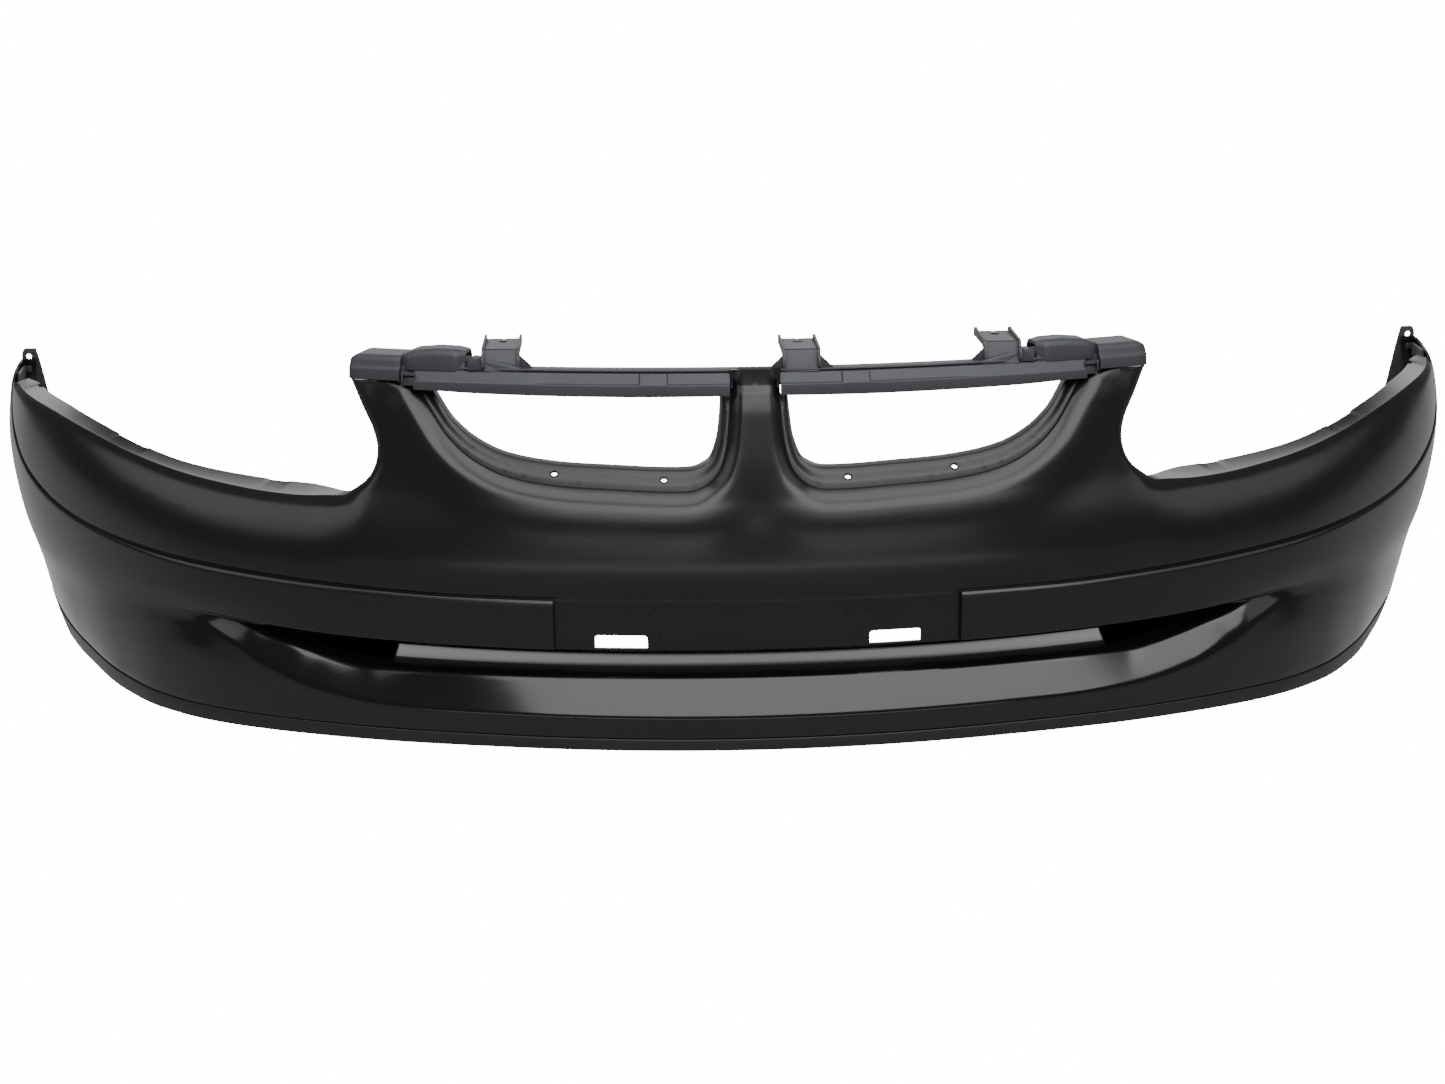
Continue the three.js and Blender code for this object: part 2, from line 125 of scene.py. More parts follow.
def at(s, h, z):
    """Points of the layout in metres."""
    s, h, z = np.broadcast_arrays(np.asarray(s, float), h, z)
    x, y = plan(s, h)
    return np.stack([x, y + Y_SHIFT, z], -1) / 1000


def s_at_x(x, h):
    """The s at which the line h outward of the plan line reaches x."""
    x = np.asarray(x, float)
    s = np.abs(x)
    for _ in range(14):
        s = s + np.abs(x) - plan(s, h)[0]
    return np.where(x < 0, -s, s)


def y_at_x(x, h):
    """How far back the plan line is at x, in millimetres."""
    return float(plan(s_at_x(x, h), h)[1])


def span(x0, x1, h, count):
    """Evenly spaced s from one x to another at offset h."""
    return np.linspace(float(s_at_x(x0, h)), float(s_at_x(x1, h)), count)


# ---- shape of the skin ----
crease_z = curve([(0, 163), (300, 163), (425, 166), (530, 170), (630, 175), (720, 183), (780, 191),
                  (840, 203), (880, 215), (920, 230), (960, 250), (1000, 272), (1036, 292), (1100, 303),
                  (1150, 308)])
ledge_z = curve([(400, 262), (430, 251), (490, 247), (560, 249), (670, 261), (785, 283), (850, 295),
                 (950, 301), (1036, 302), (1090, 309), (1150, 314)])
belly_h = curve([(0, 0), (600, 0), (760, -5), (900, -12), (1040, -21), (1150, -22)])
lip_bottom_h = curve([(0, -1), (250, -2), (430, 4), (587, 10), (663, 4), (739, -13), (859, -44),
                      (955, -57), (1047, -62), (1150, -60)])
joint_z = curve([(0, 13), (600, 16), (760, 20), (900, 30), (1040, 46), (1150, 54)])
lean = curve([(0, 1), (30, 0.78), (50, 0.66), (90, 0.5), (110, 0.4), (130, 0.28), (150, 0.18),
              (180, 0.07), (220, 0)])
crest_z = curve([(0, 35), (314, 37), (387, 41), (472, 54), (515, 71), (550, 89), (590, 102), (630, 108)])
scoop_depth = curve([(0, 68), (400, 66), (460, 50), (510, 28), (550, 12), (590, 4), (630, 0)])
foot_z = curve([(0, 109), (206, 109.5), (400, 112), (575, 118), (630, 120)])
SCOOP_REAR, SCOOP_LIP = 84, 4
proud = curve([(0, 3.9), (575, 3.9), (700, 3), (950, 2), (1150, 1.5)])
centre_h = curve([(168, 0), (190, -1), (210, -5), (230, -11), (250, -19), (262, -24), (300, -36),
                  (340, -48), (388, -62)])
shoulder = curve([(0, 1), (10, 0.73), (25, 0.43), (45, 0.17), (65, 0.03), (80, 0)])
shoulder_depth = curve([(430, 30), (560, 30), (700, 26), (850, 18), (1040, 12)])


def lower_h(s, z):
    """Offset of the skin under the crease, without the proud band."""
    swage = bell(s, 610, 95)
    h = mix(belly_h(s), lip_bottom_h(s), lean(z))
    h = h + swage * (-6 * bell(z, 112, 18) + 4 * bell(z, 60, 24)) - 1.4 * ramp(np.abs(s), 850, 1000)
    return h - 12 * ramp(z, 235, 330) * ramp(np.abs(s), 850, 1000)


def face_h(s, z):
    """Offset of the skin under the crease with the proud band."""
    a = np.abs(s)
    up = mix(ramp(z, 88, 104), ramp(z, 90, 150), ramp(a, 480, 620))
    return lower_h(s, z) + proud(s) * up


def upper_h(s, z):
    """Offset of the skin over the crease: the centre face, turning into the wings."""
    wing = belly_h(s) - shoulder_depth(s) * shoulder(np.maximum(ledge_z(s) - z, 0))
    return mix(centre_h(np.maximum(z, 168)), wing, ramp(np.abs(s), 385, 470))


def arch_bite(s, z):
    """How much the wheel arch shortens the wing at this height."""
    return 30 * np.maximum(0, 1 - ((z - 140) / 150) ** 2) * ramp(np.abs(s), 1000, 1150)


# ---- outlines, (x, z) on the +X side ----
APERTURE = [(345, 370), (326, 338), (309, 314), (285, 294), (251, 279), (201, 271), (141, 268),
            (90, 266), (60, 268), (40, 282), (31, 304), (27, 334), (25, 370)]
HORN_SIDE = [(404, 370), (396, 342), (387, 318), (384, 300), (387, 284), (395, 271), (408, 261),
             (424, 252), (446, 249)]
LEDGE_S = [500, 560, 640, 720, 800, 870, 950]


def spline(points, step):
    """A Catmull-Rom curve through points, resampled at about this step."""
    p = np.array(points, float)
    p = np.vstack([2 * p[0] - p[1], p, 2 * p[-1] - p[-2]])
    t = np.linspace(0, 1, 25)[:-1, None]
    out = []
    for a, b, c, d in zip(p[:-3], p[1:-2], p[2:-1], p[3:]):
        out.append(0.5 * (2 * b + (c - a) * t + (2 * a - 5 * b + 4 * c - d) * t ** 2
                          + (3 * b - a - 3 * c + d) * t ** 3))
    out = np.vstack(out + [p[-2:-1]])
    run = np.concatenate([[0], np.cumsum(np.hypot(*np.diff(out, axis=0).T))])
    n = max(2, int(round(run[-1] / step)))
    u = np.linspace(0, run[-1], n + 1)
    return np.stack([np.interp(u, run, out[:, 0]), np.interp(u, run, out[:, 1])], -1)


def to_s(outline):
    """(x, z) on the skin to (s, z)."""
    p = np.array(outline, float)
    return np.stack([s_at_x(p[:, 0], centre_h(p[:, 1])), p[:, 1]], -1)


def distance(points, line):
    """Distance from each point to a polyline."""
    a, b = line[:-1], line[1:]
    ab = b - a
    size = (ab ** 2).sum(1)
    best = np.full(len(points), 1e9)
    for k in range(0, len(points), 2000):
        ap = points[k:k + 2000, None] - a
        t = np.clip((ap * ab).sum(2) / size, 0, 1)
        best[k:k + 2000] = np.sqrt(((ap - t[..., None] * ab) ** 2).sum(2).min(1))
    return best


def inside(points, ring):
    """Which points lie in a closed ring."""
    x, y = points.T
    hit = np.zeros(len(points), bool)
    for (x0, y0), (x1, y1) in zip(ring, np.roll(ring, -1, 0)):
        if y0 != y1:
            cross = (y0 > y) != (y1 > y)
            hit ^= cross & (x < (x1 - x0) * (y - y0) / (y1 - y0) + x0)
    return hit


def roll_off(d, radius, drop):
    """Drop of a rounded edge at distance d from it."""
    u = np.clip(1 - d / radius, 0, 1)
    return drop * u * u


# ---- mesh helpers ----
class Shell:
    """Faces collected from several patches, welded into one surface."""

    def __init__(self):
        self.verts, self.faces, self.count = [], [], 0

    def add(self, verts, faces):
        self.verts.append(np.asarray(verts).reshape(-1, 3))
        self.faces += [tuple(int(i) + self.count for i in f) for f in faces]
        self.count += len(self.verts[-1])

    def grid(self, points, keep=None):
        rows, cols = points.shape[:2]
        faces = []
        for r in range(rows - 1):
            for c in range(cols - 1):
                if keep is None or keep[r, c]:
                    i = r * cols + c
                    faces.append((i, i + 1, i + cols + 1, i + cols))
        self.add(points, faces)

    def mirror(self):
        self.verts += [verts * MIRROR for verts in self.verts]
        n = self.count
        self.faces += [tuple(i + n for i in reversed(f)) for f in self.faces]
        self.count *= 2

    def mesh(self, name, thick=None, outward=None, weld=2e-5, bevel=None):
        bm = bmesh.new()
        made = [bm.verts.new(v) for v in np.vstack(self.verts)]
        for f in self.faces:
            if len(set(f)) > 2:
                bm.faces.new([made[i] for i in f])
        bmesh.ops.remove_doubles(bm, verts=bm.verts, dist=weld)
        bmesh.ops.dissolve_degenerate(bm, edges=bm.edges, dist=weld)
        loose = [v for v in bm.verts if not v.link_faces]
        bmesh.ops.delete(bm, geom=loose, context="VERTS")
        bmesh.ops.recalc_face_normals(bm, faces=bm.faces)
        if outward is not None:
            total = sum((f.normal.dot(outward(f.calc_center_median())) * f.calc_area()) for f in bm.faces)
            if total < 0:
                bmesh.ops.reverse_faces(bm, faces=bm.faces)
        if thick:
            thicken(bm, thick / 1000)
        if bevel:
            crisp = [e for e in bm.edges if len(e.link_faces) == 2 and e.calc_face_angle(0) > 0.6]
            bmesh.ops.bevel(bm, geom=crisp, offset=bevel / 1000, segments=2, profile=0.6, affect="EDGES",
                            clamp_overlap=True)
        me = bpy.data.meshes.new(name)
        bm.to_mesh(me)
        bm.free()
        return me


def sweep(shell, s, rows):
    """Sweeps a closed profile, rows of (h, z) over s, along the plan line and caps its ends."""
    points = at(s, rows[..., 0], rows[..., 1])
    shell.grid(np.concatenate([points, points[:1]]))
    for k in (0, -1):
        shell.add(points[:, k], [tuple(range(len(points)))])


def lift(points, axis, level):
    """Points of an outline in two axes, put at a level of the third, from millimetres to metres."""
    a, b = np.array(points, float).T
    flat = np.full(len(a), level)
    xyz = {"x": (flat, a + Y_SHIFT, b), "y": (a, flat + Y_SHIFT, b), "z": (a, b + Y_SHIFT, flat)}
    return np.stack(xyz[axis], -1) / 1000


def prism(shell, outline, axis, lo, hi):
    """Extrudes an outline along one axis."""
    n = len(outline)
    faces = [(i, (i + 1) % n, (i + 1) % n + n, i + n) for i in range(n)]
    ends = np.vstack([lift(outline, axis, lo), lift(outline, axis, hi)])
    shell.add(ends, faces + [tuple(range(n)), tuple(range(n, 2 * n))])


def turned(shell, profile, origin, axis, sides=28):
    """A turned part: profile of (radius, height) about an axis, origin in metres."""
    axis = Vector(axis).normalized()
    turn = np.array(axis.to_track_quat("Z", "Y").to_matrix())
    ring = np.linspace(0, 2 * math.pi, sides + 1)
    r, t = np.array(profile, float).T[:, :, None]
    local = np.stack([r * np.cos(ring), r * np.sin(ring), t + 0 * ring], -1) / 1000
    shell.grid(local @ turn.T + np.array(origin))


def circle(x, y, r, sides=24):
    """The points of a closed round outline."""
    a = np.linspace(0, 2 * math.pi, sides, endpoint=False)
    return np.stack([x + r * np.cos(a), y + r * np.sin(a)], -1)


def round_corners(points, radius, steps=4):
    """Rounds the corners of a closed outline; radius is one number or one for each point."""
    p = np.array(points, float)
    radius = np.broadcast_to(radius, len(p))
    out = []
    for a, b, c, r in zip(np.roll(p, 1, 0), p, np.roll(p, -1, 0), radius):
        la, lc = np.linalg.norm(a - b), np.linalg.norm(c - b)
        k = min(r, 0.45 * la, 0.45 * lc)
        q0, q1 = b + (a - b) / la * k, b + (c - b) / lc * k
        out += [(1 - t) ** 2 * q0 + 2 * t * (1 - t) * b + t * t * q1
                for t in (np.linspace(0, 1, steps + 1) if k > 0.05 else [0.5])]
    return np.array(out)


def flat_sheet(outline, holes, step, lines=()):
    """Triangles filling an outline with holes; lines are extra rows of points."""
    rings = [np.asarray(outline)] + [np.asarray(h) for h in holes]
    lo, hi = rings[0].min(0), rings[0].max(0)
    gx, gy = np.meshgrid(np.arange(lo[0], hi[0], step), np.arange(lo[1], hi[1], step))
    extra = np.vstack([np.stack([gx.ravel(), gy.ravel()], -1), *lines])
    extra = extra[inside(extra, rings[0])]
    for ring in rings:
        extra = extra[distance(extra, np.vstack([ring, ring[:1]])) > 0.3 * min(step, 1.5)]
    for ring in rings[1:]:
        extra = extra[~inside(extra, ring)]
    extra = thin_out(extra, 0.05) if len(extra) else extra
    points, edges = [], []
    for ring in rings:
        n = len(points)
        edges += [(n + i, n + (i + 1) % len(ring)) for i in range(len(ring))]
        points += list(ring)
    points += list(extra)
    out = delaunay_2d_cdt([Vector(p) for p in points], edges, [], 1, 1e-5)
    flat = np.array([tuple(v) for v in out[0]])
    faces = [tuple(f) for f in out[2]]
    middle = np.array([flat[list(f)].mean(0) for f in faces])
    hollow = np.zeros(len(faces), bool)
    for ring in rings[1:]:
        hollow |= inside(middle, ring)
    return flat, [f for f, gone in zip(faces, hollow) if not gone]


def plate(shell, outline, hole, axis, near, far, step):
    """Extrudes an outline with one hole along an axis."""
    for flip, level in ((1, near), (-1, far)):
        flat, faces = flat_sheet(outline, [hole], step)
        shell.add(lift(flat, axis, level), [f[::flip] for f in faces])
    for ring in (outline, hole):
        loop = np.vstack([ring, ring[:1]])
        shell.grid(np.array([lift(loop, axis, level) for level in (near, far)]))


def thicken(bm, wall):
    """Turns an open sheet into a closed wall: a copy inside, and a rim along each free edge."""
    bm.normal_update()
    outer = list(bm.verts)
    faces = list(bm.faces)
    rims = [e for e in bm.edges if len(e.link_faces) == 1]
    inner = {v: bm.verts.new(v.co - v.normal * wall) for v in outer}
    for e in rims:
        loop = e.link_loops[0]
        a, b = loop.vert, loop.link_loop_next.vert
        bm.faces.new([b, a, inner[a], inner[b]])
    for f in faces:
        bm.faces.new([inner[v] for v in reversed(f.verts)])


def joined(me, extra):
    """Adds a second mesh to the first and deletes the second."""
    bm = bmesh.new()
    bm.from_mesh(me)
    bm.from_mesh(extra)
    bm.to_mesh(me)
    bm.free()
    bpy.data.meshes.remove(extra)
    return me


def piece(name, me, material, nodes, sharp=42):
    """Puts a finished mesh in the scene in place of its CAD nodes; sharp is an angle in degrees."""
    me.shade_smooth()
    me.set_sharp_from_angle(angle=math.radians(sharp))
    ob = bpy.data.objects.new(name, me)
    bpy.context.scene.collection.objects.link(ob)
    me.materials.append(material)
    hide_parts(*nodes)
    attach(ob, "root")


def rounded(controls, columns):
    """Profile rows through control points (h, z, corner radius, arc steps, line steps)."""
    pts = [np.stack(np.broadcast_arrays(c[0] + 0 * columns, c[1] + 0 * columns), -1) for c in controls]
    rows, marks = [pts[0]], [0]
    leave = pts[0]
    for i in range(1, len(pts)):
        here = pts[i]
        if i == len(pts) - 1:
            arrive, arc = here, []
        else:
            back, ahead = pts[i - 1] - here, pts[i + 1] - here
            lb = np.linalg.norm(back, axis=-1)
            la = np.linalg.norm(ahead, axis=-1)
            r = np.minimum(controls[i][2], 0.495 * np.minimum(lb, la))[:, None]
            arrive = here + back / np.maximum(lb, 1e-9)[:, None] * r
            depart = here + ahead / np.maximum(la, 1e-9)[:, None] * r
            n = controls[i][3]
            arc = [(1 - t) ** 2 * arrive + 2 * t * (1 - t) * here + t * t * depart
                   for t in np.linspace(0, 1, n + 1)[1:]]
        n = controls[i - 1][4]
        rows += [mix(leave, arrive, (k + 1) / n) for k in range(n)]
        marks.append(len(rows) - 1 + len(arc) // 2)
        rows += arc
        leave = rows[-1]
    return np.array(rows), marks


def moulding(shell, s, controls):
    """Sweeps a closed profile of control points along the plan line."""
    rows, _ = rounded(controls + controls[:1], s)
    sweep(shell, s, rows[:-1])


# ---- bumper fascia ----
def lower_controls(s):
    """Control points from the return flange under the skin up to the foot of the upper face."""
    zj, cz, d = joint_z(s), crest_z(s), scoop_depth(s)
    zc, zb = crease_z(s), foot_z(s)
    away = ramp(s, 600, 800)
    deep = ramp(d, 6, 42)

    def row(h, z, hollow, share, out, r, arc, line):
        """A pocket row: its own place where the scoop is deep, a share of the height where shallow."""
        zz = mix(mix(cz, zb, share), z, deep)
        zz = mix(zz, zj + (zc - zj) * out, away)
        return mix(face_h(s, zz) - d * hollow, h, deep), zz, r, arc, line

    foot = lower_h(s, zj)
    crest = mix(cz, zj + (zc - zj) * 0.34, away)
    rear = mix(SCOOP_REAR, zb - 5, ramp(s, 400, 560))
    groove = upper_h(s, zc + 2) - mix(1.3, 0.5, ramp(s, 880, 1036))
    rows = [(foot - 30, zj, 0, 1, 4), (foot, zj, 1.5, 3, 1)]
    for t in (0.3, 0.6):
        z = mix(zj, crest, t)
        rows.append((face_h(s, z), z, 30, 3, 1))
    rows += [
        (face_h(s, crest) + mix(0, 1.5, deep), crest, mix(30, 9, deep), 7, 2),
        row(-0.36 * d, mix(cz, rear, 0.87), 0.6, 0.45, 0.36, 13, 5, 3),
        row(-d, rear, 1.0, 0.72, 0.39, 3, 4, 1),
        row(-d, rear + SCOOP_LIP, 1.0, 0.82, 0.42, 1, 1, 3),
        row(-np.minimum(24, 0.8 * d), zb + 1.5, 0.8, 0.92, 0.45, 1, 1, 3),
        row(face_h(s, zb), zb, 0, 1, 0.48, 2, 4, 1),
    ]
    foot_row = mix(zb, zj + (zc - zj) * 0.48, away)
    for t in (0.2, 0.4, 0.6, 0.8):
        z = mix(foot_row, zc - 6, t)
        rows.append((face_h(s, z), z, 30, 3, 1))
    rows += [
        (face_h(s, zc - 5), zc - 5, 3.5, 4, 1),
        (face_h(s, zc - 1.7) - 0.55 * proud(s), zc - 1.7, 0.8, 2, 1),
        (groove, zc - 1.1, 0.5, 2, 1),
        (groove, zc + 0.2, 0.5, 2, 1),
        (upper_h(s, zc + 1.6), zc + 1.6, 1.6, 3, 1),
        (upper_h(s, zc + 8), zc + 8, 0, 1, 1),
    ]
    return rows


def upper_edges():
    """The open edges of the upper face on the +X side, in (s, z)."""
    aperture = to_s(spline(APERTURE, 3))
    horn = np.vstack([to_s(HORN_SIDE), [(s, float(ledge_z(s))) for s in LEDGE_S],
                      [(UPPER_END, float(crease_z(UPPER_END)) + 8)]])
    return aperture, spline(horn, 4)


def skin_h(p, aperture, horn):
    """Height of the upper face with its rolled edges and the collars round the apertures."""
    s, z = p.T
    near = distance(p, aperture)
    far = distance(p * np.array([-1, 1]), aperture)
    side = distance(p, horn)
    swell = sum(np.exp(-((np.maximum(d - 18, 0) / 24) ** 2)) for d in (near, far))
    collar = 4.5 * np.tanh(1.2 * swell) / math.tanh(1.2)
    edge = mix(10, 6, ramp(s, 430, 500))
    rolls = roll_off(near, 16, 10) + roll_off(far, 16, 10) + roll_off(side, edge, edge * 0.8)
    tab = 2.2 * ramp(z, 363, 366) * (near > 0.5) * (np.abs(s) < 24)
    return upper_h(s, z) + collar - rolls - tab


def offsets(line, distances, sign):
    """Points beside a polyline at the given distances."""
    tangent = np.gradient(line, axis=0)
    normal = np.stack([-tangent[:, 1], tangent[:, 0]], -1) * sign
    normal /= np.linalg.norm(normal, axis=1)[:, None]
    out = []
    for d in distances:
        ring = line + normal * d
        out.append(ring[distance(ring, line) > 0.985 * d])
    return np.vstack(out)


def triangulate(ring, extra, gap):
    """Triangles of a closed ring with extra points inside it."""
    extra = extra[inside(extra, ring)]
    extra = extra[distance(extra, np.vstack([ring, ring[:1]])) > gap]
    points = np.vstack([ring, extra])
    edges = [(i, (i + 1) % len(ring)) for i in range(len(ring))]
    out = delaunay_2d_cdt([Vector(p) for p in points], edges, [], 1, 1e-5)
    return np.array([tuple(v) for v in out[0]]), [tuple(f) for f in out[2]]


def thin_out(points, gap):
    """Drops points that stand closer than gap to one already kept."""
    kept, cells = [], {}
    for p in points:
        key = (int(p[0] // gap), int(p[1] // gap))
        close = (q for i in (-1, 0, 1) for j in (-1, 0, 1) for q in cells.get((key[0] + i, key[1] + j), ()))
        if all((p[0] - q[0]) ** 2 + (p[1] - q[1]) ** 2 >= gap * gap for q in close):
            kept.append(p)
            cells.setdefault(key, []).append(p)
    return np.array(kept)


def lower_skin(shell):
    """From the return flange up to the foot of the upper face, with the openings left out."""
    window = float(s_at_x(PLATE_X, 4))
    cols = np.unique(np.concatenate([np.arange(0, UPPER_END - 2, 5), [window, SLOT_END, UPPER_END],
                                     np.linspace(UPPER_END, WING_END, 24)]))
    rows, marks = rounded(lower_controls(cols), cols)
    h, z = rows[..., 0], rows[..., 1]
    keep = np.ones((len(rows) - 1, len(cols) - 1), bool)
    mid = (cols[1:] + cols[:-1]) / 2
    flange, slot_lo, slot_hi, foot, lip = (marks[k] for k in (1, 7, 8, 9, 15))
    keep[slot_lo:slot_hi, mid < SLOT_END] = False
    keep[slot_hi:lip + 2, mid < window] = False
    keep[lip + 1:, mid > UPPER_END] = False
    shell.grid(at(cols - arch_bite(cols, z), h, z), keep)
    lower_returns(shell, (window, int(np.searchsorted(cols, window))), h, z, slice(foot - 2, lip + 2),
                  slice(flange, lip + 1))
    return np.stack([cols[cols <= UPPER_END], z[-1, cols <= UPPER_END]], -1)


def lower_returns(shell, window, h, z, band, arch):
    """Returns at the plate window's ends and along the wheel arch."""
    s, k = window
    inward = np.array([0, 1.2, 9])[:, None]
    shell.grid(at(s, h[band, k] - inward, z[band, k]))
    s = WING_END - arch_bite(WING_END, z[arch, -1])
    inward = np.array([0, 3, 10, 18])[:, None]
    shell.grid(at(s, h[arch, -1] - inward, z[arch, -1]))


def upper_skin(shell, bottom, aperture, horn):
    """The face round the apertures, from the lower skin's top row to the horns and the pillar."""
    top = np.array([(t, PILLAR_TOP) for t in np.linspace(aperture[-1, 0], 0, 6)])
    down = np.array([(0, t) for t in np.arange(PILLAR_TOP - 5, bottom[0, 1] + 2, -5)])
    ring = np.vstack([bottom, horn[::-1][1:], [((horn[0, 0] + aperture[0, 0]) / 2, HORN_TOP)], aperture,
                      [(aperture[-1, 0], 375.0)], top, down])
    a = np.radians([14, 28, 42, 57, 73, 90])
    fine = np.concatenate([12 * (1 - np.cos(a)), [15, 19, 24, 30, 37, 45]])
    side = np.concatenate([5 * (1 - np.cos(a)), [7, 10, 14, 19, 25]])
    extra = [offsets(aperture, fine, 1), offsets(aperture, fine, -1),
             offsets(horn, side, 1), offsets(horn, side, -1)]
    gx, gz = np.meshgrid(np.arange(3, 1040, 6.0), np.arange(168, 390, 6.0))
    gx = gx + 3 * (np.arange(gz.shape[0]) % 2)[:, None]
    loose = np.stack([gx.ravel(), gz.ravel()], -1)
    loose = loose[(distance(loose, aperture) > 46) & (distance(loose, horn) > 26)]
    flat, faces = triangulate(ring, thin_out(np.vstack(extra + [loose]), 0.24), 0.2)
    lifted = skin_h(flat, aperture, horn)
    on_foot = flat[:, 1] <= np.interp(flat[:, 0], bottom[:, 0], bottom[:, 1]) + 0.01
    lifted[on_foot] = upper_h(flat[on_foot, 0], flat[on_foot, 1])
    shell.add(at(flat[:, 0], lifted, flat[:, 1]), faces)


def upper_returns(shell, aperture, horn):
    """Returns behind the aperture edge, the horn's side and top, and the headlamp shelf."""
    edge = skin_h(aperture, aperture, horn)
    back = np.array([0, 1.5, 5])[:, None]
    shell.grid(at(aperture[:, 0], edge - back, aperture[:, 1]))

    # the shelf fades in from the horn's narrow return and has three shallow notches
    s = horn[:, 0]
    shelf = ramp(s, 425, 500)
    taper = ramp(s, 500, 700)
    depth = mix(12, mix(30, 20, taper), shelf) - 8 * ramp(s, 990, 1036)
    for start, end, cut in ((520, 546, 3), (712, 760, 2.5), (962, 980, 4)):
        depth = depth - cut * (ramp(s, start, start + 2) - ramp(s, end, end + 2))
    rise = mix(0, mix(5, 3, taper), shelf)
    edge = skin_h(horn, aperture, horn)
    part = np.array([0, 0.05, 0.2, 0.45, 0.7, 0.85, 1])[:, None]
    shell.grid(at(s, edge - part * depth, horn[:, 1] + rise * part ** 1.3))

    tab_s = np.linspace(s[0], aperture[0, 0], 9)
    tab_h = np.interp(tab_s, [aperture[0, 0], s[0]], [skin_h(aperture[:1], aperture, horn)[0], edge[0]])
    middle = np.stack([tab_s[4:5], [HORN_TOP]], -1)
    crown = skin_h(middle, aperture, horn)[0] - tab_h[4]
    tab_h = tab_h + crown * np.sin(np.linspace(0, math.pi, 9))
    shell.grid(at(tab_s, tab_h - np.array([4, 12, 32])[:, None], HORN_TOP - 0.2))


def fascia_mesh():
    shell = Shell()
    aperture, horn = upper_edges()
    bottom = lower_skin(shell)
    upper_skin(shell, bottom, aperture, horn)
    upper_returns(shell, aperture, horn)
    shell.mirror()

    def outward(centre):
        x, y = centre.x * 1000, centre.y * 1000 - Y_SHIFT - DEPTH
        return Vector((x / HALF_WIDTH ** 2, y / DEPTH ** 2, 0))

    return shell.mesh("bumper_fascia_skin", WALL, outward)


# ---- chin lip ----
def lip_mesh():
    shell = Shell()
    s = np.unique(np.concatenate([np.arange(-1124, 1125, 6.0), [1124.0]]))
    z = joint_z(s) - GAP
    top = lower_h(s, joint_z(s)) + 0.8
    low = lip_bottom_h(s) + 0.8
    rows, _ = rounded([
        (low - 4, 0, 0, 1, 1), (low, 0, 1.6, 4, 2), (mix(low, top, 0.5) + 0.6, z * 0.5, 40, 3, 2),
        (top, z, 1.2, 4, 4), (top - 30, z, 0, 1, 1), (top - 30, z - WALL, 0, 1, 3),
        (top - 4, z - WALL, 1.0, 2, 3), (low - 4, 0, 0, 1, 1)], s)
    shell.grid(at(s, rows[..., 0], rows[..., 1]))
    caps = at(s[[0, -1]], rows[:, [0, -1], 0], rows[:, [0, -1], 1])
    for k in (0, 1):
        shell.add(caps[:, k], [tuple(range(len(rows)))])
    return shell.mesh("chin_lip_skin")


# ---- header rail over the grille apertures ----
def pad(s):
    """1 on the two raised pads of each half of the bar and outboard of them, 0 on the recessed panels."""
    a = np.abs(s)
    raised = np.maximum(ramp(a, 90, 91.5) - ramp(a, 119, 120.5), ramp(a, 212, 240))
    return np.clip(raised, 0, 1)


def rail_bar(shell):
    lo, hi = float(s_at_x(25.3, -55)), float(s_at_x(341, -55))
    s = np.unique(np.concatenate([np.arange(lo, hi, 6), [90, 91.5, 119, 120.5, hi]]))
    low = curve([(0, 358.8), (120, 358), (210, 358.5), (290, 359.5), (345, 361)])(s)
    rec = 2.3 * (1 - pad(s))
    moulding(shell, s, [
        (-53, low + 1, 0, 1, 1), (-50, low, 1.2, 3, 1), (-50.6, 370.3, 1.2, 3, 1),
        (-51.6 - rec, 371, 0.6, 2, 1), (-57.6 - rec, 380.6, 0.6, 2, 1), (-62, 380.9, 0.4, 1, 1),
        (-62, 381.9, 0.4, 1, 1), (-59.4, 382.2, 0.4, 2, 1), (-59.8, 384, 0.7, 2, 1), (-75, 384, 1, 2, 1),
        (-76, 366, 0.8, 2, 1), (-73.5, 366, 0.5, 1, 1), (-73, 380, 0.5, 1, 1), (-64, 379.6, 1, 2, 1),
        (-56, 371, 1, 2, 1)])
    return lo, hi


def rail_foot(shell):
    """The foot that stands on the horn."""
    s = span(352.5, 404.5, -60, 14)
    end = ramp(s, s[-1] - 7, s[-1])
    top = 394.6 - 3.5 * end
    moulding(shell, s, [
        (-51, 370.4, 0, 1, 1), (-47.2 - 2 * end, 370.4, 1, 3, 1), (-48.4 - 2 * end, 382, 1.4, 3, 1),
        (-51 - end, 383.2, 1, 2, 1), (-53 - end, top - 3, 3, 3, 1), (-58, top, 2.5, 3, 1),
        (-91, top, 2, 3, 1), (-93.5, 371, 1, 1, 1), (-91, 371, 1, 1, 1), (-88, top - 3, 1, 1, 1),
        (-60, top - 3, 1, 1, 1)])


def rail_hood(shell):
    """The hood from the foot towards the outer bracket."""
    s = span(290, 356, -60, 26)
    x = plan(s, -60)[0]
    top = np.interp(x, [290, 300, 320, 343, 351, 356], [399, 401.5, 402, 399.5, 396, 394.8])
    turn = 7 * (1 - ramp(x, 290, 300)) ** 1.5 + 1.5 * ramp(x, 346, 353)
    moulding(shell, s, [
        (-60, 380, 0, 1, 1), (-56.4 - turn, 380, 0.8, 2, 1), (-58.6 - turn, top - 4, 6, 5, 1),
        (-64 - turn * 0.6, top, 5, 5, 1), (-88, top, 4, 3, 1), (-92, 383, 1, 1, 1), (-90, 383, 1, 1, 1),
        (-86, top - 3, 3, 2, 1), (-67, top - 3, 3, 2, 1), (-61 - turn, top - 6, 2, 2, 1)])


